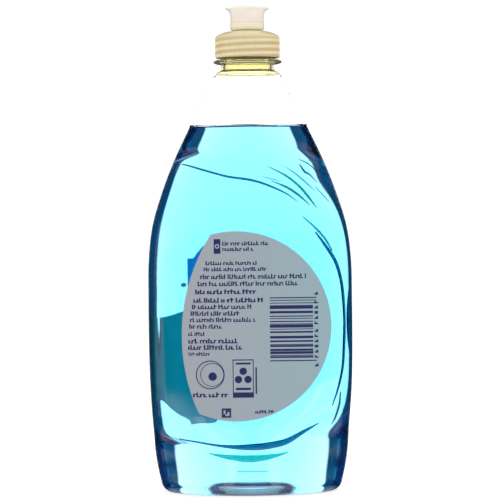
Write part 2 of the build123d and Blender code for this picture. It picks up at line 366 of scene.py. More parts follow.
# ---------------------------------------------------------------------------------------------
# Soap: clear blue washing-up liquid. It wets the wall, so its skin lies inside the PET wall and
# no air film shows between them, and it climbs the wall a little at the fill line.
# ---------------------------------------------------------------------------------------------
FILL_LEVEL = 175.3
MENISCUS = [(0.0, 1.5), (0.3, 0.85), (0.8, 0.35), (1.7, 0.1), (3.0, 0.0)]  # distance from the wall, climb
SOAP_INSET = 0.35
soap_heights = np.concatenate([[0.5, 0.8, 1.3, 2.0, 3.0], np.arange(4.5, FILL_LEVEL - 1, 2.0), [FILL_LEVEL]])
soap_rings = push_up_rings(SOAP_INSET)[::-1] + body_rings(soap_heights, SOAP_INSET)
top_width, top_depth = half_sizes([FILL_LEVEL], SOAP_INSET)
for gap, climb in MENISCUS:
    soap_rings.append(ring(top_width[0] - gap, top_depth[0] - gap, FILL_LEVEL + climb, 2.0))
for share in (0.8, 0.5, 0.2):
    soap_rings.append(ring(top_width[0] * share, top_depth[0] * share, FILL_LEVEL, 2.0))
soap_skin = rings_to_mesh(soap_rings, (0, 0, PUSH_UP_RISE + SOAP_INSET), (0, 0, FILL_LEVEL))

# Blue liquid: water-like, coloured through its depth by dye that takes red first, then green.
liquid, tree, out = new_material("blue washing-up liquid")
shader = add(tree, "ShaderNodeBsdfPrincipled", {
    "Base Color": srgb("#FFFFFF"), "Roughness": 0.0, "IOR": 1.37, "Transmission Weight": 1.0})
dye = add(tree, "ShaderNodeVolumeAbsorption", {"Color": srgb("#33E0F9"), "Density": 38.0})
tree.links.new(shader.outputs[0], out.inputs["Surface"])
tree.links.new(dye.outputs[0], out.inputs["Volume"])

soap = new_piece("soap_liquid", [(*soap_skin, 0, True)], [liquid])
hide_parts("soap")
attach(soap, "bottle_body")

# ---------------------------------------------------------------------------------------------
# Closure: screw cap of natural polypropylene, moulded in one piece. A ribbed skirt, a domed deck
# with a sealing ring under it, the spout, and a centre pin on three webs that plugs the nozzle.
# ---------------------------------------------------------------------------------------------
SKIRT_BOTTOM, SKIRT_RADIUS, SKIRT_BORE = 208.9, 15.2, 13.95
RIB_COUNT, RIB_HEIGHT, RIB_WIDTH, RIB_TOP = 96, 0.35, 0.45, 218.6
CLOSURE_PROFILE = [  # radius, height
    (4.6, 218.3), (9.5, 218.3), (9.5, 216.3), (9.7, 216.1), (10.4, 216.1), (10.6, 216.3), (10.6, 218.3), (13.6, 218.3),
    (SKIRT_BORE, 218.0), (SKIRT_BORE, 209.3), (14.2, SKIRT_BOTTOM), (15.0, SKIRT_BOTTOM),
    (SKIRT_RADIUS, 209.1), (SKIRT_RADIUS, 218.8), (15.0, 219.3),
    (14.4, 219.8), (13.2, 220.4), (11.6, 221.0), (9.8, 221.45), (8.3, 221.7), (6.2, 221.75), (6.0, 222.0),
    (6.0, 229.3), (6.5, 229.7), (6.5, 229.95), (6.1, 230.4), (4.7, 230.4), (4.6, 230.3)]
PIN_RADIUS, PIN_TOP, PIN_FOOT = 1.9, 232.6, 218.3
WEB_TOP, WEB_HALF_WIDTH, WEB_FROM, WEB_TO = 221.9, 0.55, 1.5, 5.0


def turned(profile, count=128):
    """Closed ring turned from a closed (radius, height) outline that runs anticlockwise."""
    turn = np.linspace(0, 2 * math.pi, count, endpoint=False)
    rings = [np.stack([r * np.cos(turn), r * np.sin(turn), np.full(count, z)], 1) for r, z in profile]
    verts, faces = rings_to_mesh(rings)
    last = (len(rings) - 1) * count
    for k in range(count):
        after = (k + 1) % count
        faces.append((last + k, last + after, after, k))
    return verts, faces


def post(profile, count=48):
    """Solid turned from a (radius, height) outline that starts and ends on the axis."""
    turn = np.linspace(0, 2 * math.pi, count, endpoint=False)
    rings = [np.stack([r * np.cos(turn), r * np.sin(turn), np.full(count, z)], 1) for r, z in profile[1:-1]]
    return rings_to_mesh(rings, (0, 0, profile[0][1]), (0, 0, profile[-1][1]))


RIB_SIZES = {"Rib Count": ("NodeSocketInt", RIB_COUNT), "Skirt Radius": ("NodeSocketFloat", SKIRT_RADIUS * MM),
             "Rib Height": ("NodeSocketFloat", RIB_HEIGHT * MM), "Rib Width": ("NodeSocketFloat", RIB_WIDTH * MM),
             "Rib Bottom": ("NodeSocketFloat", (SKIRT_BOTTOM + 0.5) * MM), "Rib Top": ("NodeSocketFloat", RIB_TOP * MM)}


def rib_tree(material):
    """Geometry Nodes tree that sets round-backed ribs about the skirt."""
    tree = bpy.data.node_groups.new("grip ribs", "GeometryNodeTree")
    tree.interface.new_socket("Geometry", in_out="OUTPUT", socket_type="NodeSocketGeometry")
    for name, (kind, value) in RIB_SIZES.items():
        tree.interface.new_socket(name, in_out="INPUT", socket_type=kind).default_value = value
    given = add(tree, "NodeGroupInput").outputs
    length = add(tree, "ShaderNodeMath", {0: given["Rib Top"], 1: given["Rib Bottom"]}, operation="SUBTRACT")
    bar = add(tree, "GeometryNodeMeshCylinder", {"Vertices": 10, "Side Segments": 1, "Fill Segments": 1,
                                                 "Radius": 0.5, "Depth": length.outputs[0]})
    flat = add(tree, "ShaderNodeCombineXYZ", {"X": given["Rib Height"], "Y": given["Rib Width"], "Z": 1.0})
    doubled = add(tree, "ShaderNodeVectorMath", {0: flat.outputs[0], 1: (2.0, 1.0, 1.0)}, operation="MULTIPLY")
    thin = add(tree, "GeometryNodeTransform", {"Geometry": bar.outputs["Mesh"], "Scale": doubled.outputs[0]})
    circle = add(tree, "GeometryNodeMeshCircle", {"Vertices": given["Rib Count"], "Radius": given["Skirt Radius"]})
    middle = add(tree, "ShaderNodeMath", {0: given["Rib Top"], 1: given["Rib Bottom"]}, operation="ADD")
    halfway = add(tree, "ShaderNodeMath", {0: middle.outputs[0], 1: 0.5}, operation="MULTIPLY")
    lift = add(tree, "ShaderNodeCombineXYZ", {"Z": halfway.outputs[0]})
    raised = add(tree, "GeometryNodeTransform", {"Geometry": circle.outputs[0], "Translation": lift.outputs[0]})
    place = add(tree, "GeometryNodeInputPosition")
    level = add(tree, "ShaderNodeVectorMath", {0: place.outputs[0], 1: (1.0, 1.0, 0.0)}, operation="MULTIPLY")
    facing = add(tree, "FunctionNodeAlignRotationToVector", {"Vector": level.outputs[0]}, axis="X", pivot_axis="Z")
    set_out = add(tree, "GeometryNodeInstanceOnPoints", {
        "Points": raised.outputs[0], "Instance": thin.outputs[0], "Rotation": facing.outputs[0]})
    real = add(tree, "GeometryNodeRealizeInstances", {"Geometry": set_out.outputs[0]})
    finish = add(tree, "GeometryNodeSetMaterial", {"Geometry": real.outputs[0], "Material": material})
    add(tree, "NodeGroupOutput", {"Geometry": finish.outputs[0]})
    return tree


# Natural polypropylene: waxy and milky, lit through from behind, with a satin moulded skin mottled
# over about 6 mm. Its colour carries painted light and shade: the screw thread inside the skirt, seen through it, as
# paler and darker turns.
THREAD_PITCH, THREAD_FADE = 3.05, 1.4

pp, tree, out = new_material("natural polypropylene")
place = add(tree, "ShaderNodeTexCoord")
cloud = add(tree, "ShaderNodeTexNoise", {"Vector": place.outputs["Object"], "Scale": 1 / (5.56 * MM), "Detail": 2.0})
tone = add(tree, "ShaderNodeMapRange", {"Value": cloud.outputs["Fac"], "To Min": 0.18, "To Max": 0.26})
spot = add(tree, "ShaderNodeSeparateXYZ", {0: place.outputs["Object"]})
turn = add(tree, "ShaderNodeMath", {0: spot.outputs["Y"], 1: spot.outputs["X"]}, operation="ARCTAN2")
turns = add(tree, "ShaderNodeMath", {0: turn.outputs[0], 1: 2 * math.pi}, operation="DIVIDE")
climb = add(tree, "ShaderNodeMath", {0: spot.outputs["Z"], 1: THREAD_PITCH * MM}, operation="DIVIDE")
phase = add(tree, "ShaderNodeMath", {0: climb.outputs[0], 1: turns.outputs[0]}, operation="SUBTRACT")
wave = add(tree, "ShaderNodeMath", {0: phase.outputs[0], 1: 2 * math.pi}, operation="MULTIPLY")
painted_thread_wave = add(tree, "ShaderNodeMath", {0: wave.outputs[0]}, operation="SINE")
in_skirt = add(tree, "ShaderNodeMapRange", {
    "Value": spot.outputs["Z"], "From Min": RIB_TOP * MM, "From Max": (RIB_TOP - THREAD_FADE) * MM})
show = add(tree, "ShaderNodeMath", {0: painted_thread_wave.outputs[0], 1: in_skirt.outputs[0]}, operation="MULTIPLY")
share = add(tree, "ShaderNodeMapRange", {"Value": show.outputs[0], "From Min": -1.0, "From Max": 1.0})
# Painted light and shade of the thread: paler and darker cream along a helix.
cream_with_painted_thread_shade = add(tree, "ShaderNodeMix", {0: share.outputs[0], 6: srgb("#DCC69E"), 7: srgb("#FFF2C8")}, data_type="RGBA")
shader = add(tree, "ShaderNodeBsdfPrincipled", {
    "Base Color": cream_with_painted_thread_shade.outputs[2], "Roughness": tone.outputs[0], "IOR": 1.49, "Transmission Weight": 0.2})
tree.links.new(shader.outputs[0], out.inputs["Surface"])

WEB_FACES = [(3, 2, 1, 0), (4, 5, 6, 7), (0, 1, 5, 4), (1, 2, 6, 5), (2, 3, 7, 6), (3, 0, 4, 7)]
WEB_PLAN = [(WEB_FROM, -WEB_HALF_WIDTH), (WEB_TO, -WEB_HALF_WIDTH), (WEB_TO, WEB_HALF_WIDTH),
            (WEB_FROM, WEB_HALF_WIDTH)]
web_parts = []
for k in range(3):
    turn = 2 * math.pi * k / 3
    out_way, side_way = np.array([math.cos(turn), math.sin(turn), 0]), np.array([-math.sin(turn), math.cos(turn), 0])
    corners = [out_way * r + side_way * s + np.array([0, 0, z]) for z in (PIN_FOOT, WEB_TOP) for r, s in WEB_PLAN]
    web_parts.append((corners, WEB_FACES, 0, False))
pin = post([(0, PIN_FOOT), (PIN_RADIUS, PIN_FOOT), (PIN_RADIUS, PIN_TOP - 0.4), (PIN_RADIUS - 0.3, PIN_TOP),
            (0, PIN_TOP)])

ribs = bpy.data.objects.new("rib_maker", bpy.data.meshes.new("rib_maker"))
bpy.context.collection.objects.link(ribs)
maker = ribs.modifiers.new("ribs", "NODES")
maker.node_group = rib_tree(pp)
for socket in maker.node_group.interface.items_tree:
    if socket.in_out == "INPUT":
        maker[socket.identifier] = RIB_SIZES[socket.name][1]
rib_mesh = bpy.data.meshes.new_from_object(ribs.evaluated_get(bpy.context.evaluated_depsgraph_get()))
rib_part = ([tuple(c / MM for c in v.co) for v in rib_mesh.vertices],
            [tuple(p.vertices) for p in rib_mesh.polygons], 0, True)
bpy.data.objects.remove(ribs)

closure_parts = [(*turned(CLOSURE_PROFILE), 0, True), (*pin, 0, True), rib_part] + web_parts
closure = new_piece("closure_moulded", closure_parts, [pp])
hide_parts("closure")
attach(closure, "closure_body")

# ---------------------------------------------------------------------------------------------
# Nozzle: the push-pull top, a paler polypropylene sleeve that slides on the spout. A thin wide
# flange gives the fingers something to pull, and a witness line runs around it near its foot.
# ---------------------------------------------------------------------------------------------
NOZZLE_PROFILE = [  # radius, height
    (6.3, 222.0), (7.2, 222.0), (7.7, 222.25), (8.05, 222.8), (8.15, 223.6), (8.15, 225.55), (7.85, 225.7),
    (7.85, 225.9), (8.05, 226.05), (8.0, 227.5), (8.02, 229.2), (8.25, 230.4), (8.8, 231.3), (9.7, 232.0),
    (10.3, 232.3), (10.42, 232.55), (10.3, 232.85), (9.6, 233.0), (6.0, 233.15), (2.6, 233.2), (2.2, 233.0),
    (2.2, 231.7), (6.6, 231.7), (6.9, 231.4), (6.9, 223.9), (6.3, 223.6)]

# Milky polypropylene: moulded thin and satin. Its colour is painted to shift with height, unevenly over about
# 5 mm: painted shade and light of the spout inside, as if seen through it.
TONE_FROM, TONE_TO, TONE_UNEVEN = 224.0, 234.5, 4.0

milky, tree, out = new_material("milky polypropylene")
place = add(tree, "ShaderNodeTexCoord")
cloud = add(tree, "ShaderNodeTexNoise", {"Vector": place.outputs["Object"], "Scale": 1 / (4.55 * MM), "Detail": 2.0})
tone = add(tree, "ShaderNodeMapRange", {"Value": cloud.outputs["Fac"], "To Min": 0.18, "To Max": 0.24})
level = add(tree, "ShaderNodeSeparateXYZ", {0: place.outputs["Object"]})
uneven = add(tree, "ShaderNodeMath", {
    0: cloud.outputs["Fac"], 1: TONE_UNEVEN * MM, 2: level.outputs["Z"]}, operation="MULTIPLY_ADD")
share = add(tree, "ShaderNodeMapRange", {
    "Value": uneven.outputs[0], "From Min": TONE_FROM * MM, "From Max": TONE_TO * MM})
# Painted shade and light of the spout: the sleeve's colour by height.
depth = add(tree, "ShaderNodeValToRGB", {"Fac": share.outputs[0]})
depth.color_ramp.elements[0].color = srgb("#F6F0D2")
depth.color_ramp.elements[1].color = srgb("#FBF6EA")
depth.color_ramp.elements.new(0.35).color = srgb("#F5EDD4")
depth.color_ramp.elements.new(0.55).color = srgb("#F3E5DE")
shader = add(tree, "ShaderNodeBsdfPrincipled", {
    "Base Color": depth.outputs[0], "Roughness": tone.outputs[0], "IOR": 1.49, "Transmission Weight": 0.12})
tree.links.new(shader.outputs[0], out.inputs["Surface"])

nozzle = new_piece("nozzle_moulded", [(*turned(NOZZLE_PROFILE), 0, True)], [milky])
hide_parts("nozzle")
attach(nozzle, "nozzle_body")

# ---------------------------------------------------------------------------------------------
# Back label: printed polypropylene film glued to the face at -Y, round on one side and nearly
# straight on the other. The print is dark ink: rows of marks, stripes and plain shapes.
# ---------------------------------------------------------------------------------------------
BACK_ROUND_MIDDLE, BACK_ROUND_RADIUS = (-6.6, 81.3), 44.9
BACK_STRAIGHT_MIDDLE, BACK_STRAIGHT_RADIUS = (56.6, 76.5), 89.0
FILM_DEPTHS = (-0.15, 0.12)
INK_DEPTHS = (0.05, 0.15)


def laid(grid, side, depths):
    """Closed sheet laid on a broad face over rows of (x, z) points, between two depths of the skin."""
    rows, columns = len(grid), len(grid[0])
    verts, faces = [], []
    for lift in depths[::-1]:
        for x, z in (point for row in grid for point in row):
            verts.append((x, side * (float(face_depth(x, z)) + lift), z))
    under = rows * columns
    for row in range(rows - 1):
        for column in range(columns - 1):
            a = row * columns + column
            quad = (a, a + 1, a + columns + 1, a + columns)
            faces += [quad, tuple(i + under for i in quad[::-1])]
    rim = list(range(columns)) + [row * columns + columns - 1 for row in range(1, rows)]
    rim += [(rows - 1) * columns + column for column in range(columns - 2, -1, -1)]
    rim += [row * columns for row in range(rows - 2, 0, -1)]
    faces += [(b, a, a + under, b + under) for a, b in zip(rim, rim[1:] + rim[:1])]
    return verts, faces


def shape_rows(heights, lefts, rights, columns):
    """Rows of points that fill a shape given by its left and right edge at each height."""
    return [[(left + (right - left) * k / columns, z) for k in range(columns + 1)]
            for z, left, right in zip(heights, lefts, rights)]


def block(x0, z0, x1, z1, side=-1, depths=INK_DEPTHS):
    """Rectangle of ink on a label."""
    columns = max(1, int(abs(x1 - x0) / 2.5))
    return laid(shape_rows((z0, z1), (x0, x0), (x1, x1), columns), side, depths)


def hoop(middle, inner, outer, side=-1, depths=INK_DEPTHS, corners=48):
    """Ring of ink on a label; a disc where the inner radius is nought."""
    turn = np.linspace(0, 2 * math.pi, corners, endpoint=False)

    def edge(radius, lift):
        x, z = middle[0] + radius * np.cos(turn), middle[1] + radius * np.sin(turn)
        return np.stack([x, side * (face_depth(x, z) + lift), z], 1)

    low, high = depths
    if not inner:
        centre = float(face_depth(*middle))
        return rings_to_mesh([edge(outer, low), edge(outer, high)], (middle[0], side * (centre + low), middle[1]),
                             (middle[0], side * (centre + high), middle[1]))
    verts, faces = rings_to_mesh([edge(inner, low), edge(outer, low), edge(outer, high), edge(inner, high)])
    for k in range(corners):
        after = (k + 1) % corners
        faces.append((3 * corners + k, 3 * corners + after, after, k))
    return verts, faces


def marks(x0, x1, middle, size, heavy, draws):
    """A line of words as upright marks of mixed heights, none of them a letter."""
    parts, x, low = [], x0, middle - size / 2
    while x < x1 - 0.5 * size:
        for _ in range(draws.randint(2, 8)):
            wide = draws.uniform(0.26, 0.36) * size * heavy
            if x + wide > x1:
                break
            tall = draws.choice((0.7, 0.7, 0.74, 1.0, 1.0)) * size
            parts.append((*block(x, low, x + wide, low + tall), 1, False))
            if draws.random() < 0.7:
                foot = low if draws.random() < 0.5 else low + 0.5 * size
                parts.append((*block(x + 0.9 * wide, foot + 0.01, x + 2.0 * wide, foot + 0.23 * size), 1, False))
                x += 0.7 * wide
            x += wide + 0.12 * size
        x += 0.36 * size
    return parts


# White-printed polypropylene film under a matt varnish: its white painted pale grey as painted shade, cooler to
# the right. The grain of its gloss is drawn about 1 mm wide, coarser than the real one, so that it shows.
film, tree, out = new_material("printed label film")
place = add(tree, "ShaderNodeTexCoord")
grain = add(tree, "ShaderNodeTexNoise", {"Vector": place.outputs["Object"], "Scale": 1 / (1.11 * MM), "Detail": 2.0})
gloss = add(tree, "ShaderNodeMapRange", {"Value": grain.outputs["Fac"], "To Min": 0.36, "To Max": 0.46})
cast = add(tree, "ShaderNodeSeparateXYZ", {0: place.outputs["Object"]})
share = add(tree, "ShaderNodeMapRange", {"Value": cast.outputs["X"], "From Min": -30 * MM, "From Max": 36 * MM})
# Painted shade: the white film drawn pale grey, cooler towards +X.
film_in_painted_shade = add(tree, "ShaderNodeMix", {0: share.outputs[0], 6: srgb("#979AA1"), 7: srgb("#8AA3AB")}, data_type="RGBA")
shader = add(tree, "ShaderNodeBsdfPrincipled", {"Base Color": film_in_painted_shade.outputs[2], "Roughness": gloss.outputs[0]})
tree.links.new(shader.outputs[0], out.inputs["Surface"])

# Navy ink: dense and half matt, speckled at 0.4 mm by the printing plate, so it reads dark and flat.
ink, tree, out = new_material("navy printing ink")
place = add(tree, "ShaderNodeTexCoord")
speck = add(tree, "ShaderNodeTexNoise", {"Vector": place.outputs["Object"], "Scale": 1 / (0.4 * MM)})
navy = add(tree, "ShaderNodeMix", {0: speck.outputs["Fac"], 6: srgb("#14164E"), 7: srgb("#22246A")}, data_type="RGBA")
shader = add(tree, "ShaderNodeBsdfPrincipled", {"Base Color": navy.outputs[2], "Roughness": 0.5})
tree.links.new(shader.outputs[0], out.inputs["Surface"])

fall = np.sin(np.radians(np.linspace(-89, 89, 91)))
label_heights = BACK_ROUND_MIDDLE[1] + BACK_ROUND_RADIUS * fall
round_reach = BACK_ROUND_RADIUS * np.sqrt(1 - fall ** 2)
straight_rise = label_heights - BACK_STRAIGHT_MIDDLE[1]
straight = BACK_STRAIGHT_MIDDLE[0] - np.sqrt(BACK_STRAIGHT_RADIUS ** 2 - straight_rise ** 2)
back_grid = shape_rows(label_heights, np.maximum(BACK_ROUND_MIDDLE[0] - round_reach, straight),
                       BACK_ROUND_MIDDLE[0] + round_reach, 48)
back_parts = [(*laid(back_grid, -1, FILM_DEPTHS), 0, True)]

draws = random.Random(4)
MARK_LINES = [  # start, end, middle height, size, weight
    (-12.8, 9.0, 120.5, 1.9, 1.0), (-12.8, 2.4, 117.9, 1.9, 1.0), (-20.8, 3.3, 111.3, 1.8, 1.0),
    (-21.7, 8.0, 108.4, 1.8, 1.0), (-23.4, 27.2, 104.9, 2.2, 0.85), (-24.6, 22.2, 101.6, 2.2, 0.85),
    (-25.8, 2.6, 97.8, 2.2, 1.2), (-26.7, 6.1, 93.8, 2.2, 1.2), (-27.4, 0.9, 90.7, 2.1, 0.9),
    (-28.1, -4.5, 87.6, 2.1, 0.9), (-28.4, 3.1, 84.6, 2.1, 0.9), (-28.8, -12.8, 81.5, 2.1, 0.9),
    (-29.3, -20.3, 78.0, 1.9, 0.9), (-29.3, -5.7, 74.6, 2.3, 1.0), (-29.5, -4.0, 71.6, 2.3, 1.0),
    (-29.3, -18.4, 68.5, 1.6, 1.0), (-27.4, -11.3, 49.1, 2.3, 1.1), (1.9, 10.4, 40.9, 1.6, 1.2)]
for start, end, middle, size, heavy in MARK_LINES:
    back_parts += marks(start, end, middle, size, heavy, draws)

STRIPES = [  # middle height, thickness of each stripe
    (94.7, 0.5), (93.5, 0.35), (92.2, 0.35), (90.3, 1.7), (87.9, 1.1), (86.0, 0.5), (84.9, 0.35), (83.5, 0.5),
    (82.3, 0.35), (81.3, 1.4), (79.9, 0.35), (78.5, 0.8), (76.1, 1.2), (74.2, 0.8), (72.6, 0.4), (71.9, 0.8),
    (70.1, 1.0), (68.8, 1.2), (67.5, 0.4), (66.7, 0.8), (65.0, 0.5)]
STRIPES_FROM, STRIPES_TO, LONG_STRIPES_TO = 9.3, 29.6, 31.2
for middle, thick in STRIPES:
    long = thick in (0.5, 0.35) and (middle > 91 or middle < 68)
    end = LONG_STRIPES_TO if long else STRIPES_TO
    back_parts.append((*block(STRIPES_FROM, middle - thick / 2, end, middle + thick / 2), 1, False))

# A column of small marks beside the stripes, in no particular code.
COLUMN_LEFT, COLUMN_MIDDLE, COLUMN_RIGHT = 30.3, 31.0, 32.0
COLUMN_FOOT, COLUMN_PITCH, COLUMN_COUNT = 62.6, 2.45, 13
COLUMN_GAPS = [(0, 1.6), (6, 1.2), (11, 1.6)]  # after which mark, how much more room
for k in range(COLUMN_COUNT):
    low = COLUMN_FOOT + COLUMN_PITCH * k + sum(gap for after, gap in COLUMN_GAPS if k > after)
    left = COLUMN_LEFT if k % 2 else COLUMN_MIDDLE
    right = COLUMN_MIDDLE if k % 2 and k % 3 else COLUMN_RIGHT
    back_parts.append((*block(COLUMN_LEFT, low - 0.5, COLUMN_RIGHT, low + 0.15), 1, False))
    back_parts.append((*block(left, low + 0.17, right, low + 0.8), 1, False))

# A tag with a pale ring, a ring with a dot, a framed box of three dots and a small framed square.
back_parts.append((*block(-16.8, 115.7, -13.7, 122.6), 1, False))
back_parts.append((*hoop((-15.25, 119.2), 0.55, 1.1, depths=(0.06, 0.19)), 0, False))
for inner, outer, middle in ((6.35, 6.8, (-19.1, 58.6)), (5.3, 5.6, (-18.2, 58.6)), (0.0, 2.0, (-18.0, 57.8))):
    back_parts.append((*hoop(middle, inner, outer), 1, False))
BOX_BARS = [  # left, bottom, right, top
    (-8.5, 65.3, 1.4, 65.8), (-8.5, 47.7, 1.4, 50.2), (-8.5, 50.22, -8.1, 65.28), (1.0, 50.22, 1.4, 65.28),
    (-7.0, 51.3, 0.0, 52.4), (-7.0, 63.4, 0.0, 64.3), (2.2, 49.5, 2.9, 62.0)]
for bar in BOX_BARS:
    back_parts.append((*block(*bar), 1, False))
DOTS_MIDDLE, DOTS_APART, DOT_SIZE = (-3.55, 57.6), 2.6, 1.75
for k in range(3):
    turn = math.radians(90 + 120 * k)
    spot = (DOTS_MIDDLE[0] + DOTS_APART * math.cos(turn), DOTS_MIDDLE[1] + DOTS_APART * math.sin(turn))
    back_parts.append((*hoop(spot, 0.0, DOT_SIZE), 1, False))
SQUARE_LEFT, SQUARE_LOW, CELL, CELLS, CELL_GAP = -13.9, 38.2, 0.9, 5, 0.02
FILLED_CELLS = (6, 12, 17, 18)
for k in range(CELLS * CELLS):
    row, column = divmod(k, CELLS)
    if min(row, column) == 0 or max(row, column) == CELLS - 1 or k in FILLED_CELLS:
        left, low = SQUARE_LEFT + column * CELL, SQUARE_LOW + row * CELL
        back_parts.append((*block(left + CELL_GAP, low + CELL_GAP, left + CELL - CELL_GAP, low + CELL - CELL_GAP),
                           1, False))

back_label = new_piece("back_label_film", back_parts, [film, ink])
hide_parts("back_label")
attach(back_label, "bottle_body")

# ---------------------------------------------------------------------------------------------
# Front label: clear polypropylene film with rounded corners on the face at +Y. Its print, a deep
# blue panel and a sweep of teal, glows in the light behind it and is seen through the liquid.
# ---------------------------------------------------------------------------------------------
FRONT_HALF_WIDTH, FRONT_LOW, FRONT_HIGH, FRONT_CORNER = 36.0, 31.0, 125.0, 18.2
CLEAR_FILM_DEPTHS = (-0.03, 0.02)
PRINT_DEPTHS = (-0.15, 0.15)


def front_reach(height):
    """Half width of the front film at a height."""
    over = max(FRONT_LOW + FRONT_CORNER - height, height - FRONT_HIGH + FRONT_CORNER, 0.0)
    return FRONT_HALF_WIDTH - FRONT_CORNER + math.sqrt(max(FRONT_CORNER ** 2 - over ** 2, 0.0))


# Clear polypropylene film: glossy and colourless, so that only its print is seen. Its gloss varies
# over about 3 mm.
clear_film, tree, out = new_material("clear label film")
place = add(tree, "ShaderNodeTexCoord")
grain = add(tree, "ShaderNodeTexNoise", {"Vector": place.outputs["Object"], "Scale": 1 / (3.33 * MM)})
gloss = add(tree, "ShaderNodeMapRange", {"Value": grain.outputs["Fac"], "To Min": 0.01, "To Max": 0.04})
shader = add(tree, "ShaderNodeBsdfPrincipled", {
    "Base Color": srgb("#FFFFFF"), "Roughness": gloss.outputs[0], "IOR": 1.49, "Transmission Weight": 1.0})
tree.links.new(shader.outputs[0], out.inputs["Surface"])

# Translucent inks: flexo-printed, a little uneven over about 11 mm, and lit through from behind.
FRONT_INKS = [  # name, paler and deeper tone
    ("teal translucent ink", "#12A2A8", "#058A90"), ("blue translucent ink", "#1A98D2", "#0C86C0"),
    ("white printing ink", "#E8F2F6", "#F4FAFC")]
front_inks = []
for name, pale, deep in FRONT_INKS:
    front_ink, tree, out = new_material(name)
    place = add(tree, "ShaderNodeTexCoord")
    cloud = add(tree, "ShaderNodeTexNoise", {
        "Vector": place.outputs["Object"], "Scale": 1 / (11.11 * MM), "Detail": 2.0})
    tone = add(tree, "ShaderNodeMix", {0: cloud.outputs["Fac"], 6: srgb(deep), 7: srgb(pale)}, data_type="RGBA")
    shader = add(tree, "ShaderNodeBsdfPrincipled", {
        "Base Color": tone.outputs[2], "Roughness": 0.38, "IOR": 1.49, "Transmission Weight": 0.85})
    tree.links.new(shader.outputs[0], out.inputs["Surface"])
    front_inks.append(front_ink)

film_heights = [FRONT_LOW + FRONT_CORNER * (1 - math.cos(math.radians(a))) for a in range(0, 91, 6)]
film_heights += [FRONT_LOW + FRONT_CORNER + k * 2.4 for k in range(1, 24)]
film_heights += [FRONT_HIGH - FRONT_CORNER * (1 - math.sin(math.radians(a))) for a in range(0, 91, 6)]
reaches = np.array([front_reach(z) for z in film_heights])
front_parts = [(*laid(shape_rows(film_heights, -reaches, reaches, 48), 1, CLEAR_FILM_DEPTHS), 0, True)]

SWEEP = np.array([  # height, left and right edge of the teal sweep
    (32.6, -19.5, -17.0), (33.2, -36, -15.9), (34.4, -36, -15.3), (36.8, -36, -15.0), (40.5, -36, -12.0),
    (48.0, -36, -3.0), (60.0, -36, 10.0), (70.0, -36, 22.0), (76.0, -36, 26.0), (80.0, -36, 25.0),
    (83.5, -36, 20.0), (85.6, -31.5, 14.0), (87.2, -28.0, 9.0), (88.6, -21.0, 3.0), (90.0, -12.0, -6.0)])
PANEL = np.array([  # height, left and right edge of the blue panel
    (96.6, -27.7, 21.0), (104.0, -27.7, 22.0), (111.8, -27.7, 19.0), (112.0, -25.2, 19.0), (114.5, -23.8, 14.0),
    (117.5, -21.5, 8.0), (119.5, -19.3, 0.0), (120.5, -17.0, -8.0)])
for shape, fine, slot in ((SWEEP, 48, 1), (PANEL, 24, 2)):
    heights = np.union1d(np.linspace(shape[0, 0], shape[-1, 0], fine), shape[:, 0])
    lefts = np.interp(heights, shape[:, 0], shape[:, 1])
    lefts = np.maximum(lefts, [-front_reach(z) for z in heights])
    rights = np.interp(heights, shape[:, 0], shape[:, 2])
    front_parts.append((*laid(shape_rows(heights, lefts, rights, 32), 1, PRINT_DEPTHS), slot, True))
front_parts.append((*hoop((-29.3, 99.2), 0.0, 1.0, side=1, depths=PRINT_DEPTHS), 1, True))
for middle, inner, outer in (((-12.0, 108.0), 4.2, 5.0), ((-0.5, 113.0), 2.6, 3.2), ((8.5, 105.5), 3.3, 4.0)):
    front_parts.append((*hoop(middle, inner, outer, side=1, depths=(0.12, 0.19)), 3, True))
front_label = new_piece("front_label_film", front_parts, [clear_film] + front_inks)
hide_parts("front_label")
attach(front_label, "bottle_body")

# ---------------------------------------------------------------------------------------------
# Studio: a pale floor and a white screen, with windows of light all round the bottle. The room
# between the windows is dark, which draws the dark edges in the liquid and the PET.
# ---------------------------------------------------------------------------------------------
scene = bpy.context.scene
scene.view_settings.view_transform = "Standard"
# Light crosses many walls of PET, liquid and film on its way through the bottle.
scene.cycles.max_bounces = 24
scene.cycles.transmission_bounces = 24
scene.cycles.glossy_bounces = 12

world = bpy.data.worlds.new("studio")
scene.world = world
world.use_nodes = True
tree = world.node_tree
tree.nodes.clear()
way = add(tree, "ShaderNodeTexCoord").outputs["Generated"]


def band(tree, value, low, high, soft):
    """One between two angles in degrees, nought outside them, with soft edges."""
    rise = add(tree, "ShaderNodeMapRange", {"Value": value, "From Min": math.radians(low - soft),
                                            "From Max": math.radians(low + soft)})
    fall = add(tree, "ShaderNodeMapRange", {"Value": value, "From Min": math.radians(high + soft),
                                            "From Max": math.radians(high - soft)})
    return add(tree, "ShaderNodeMath", {0: rise.outputs[0], 1: fall.outputs[0]}, operation="MULTIPLY").outputs[0]


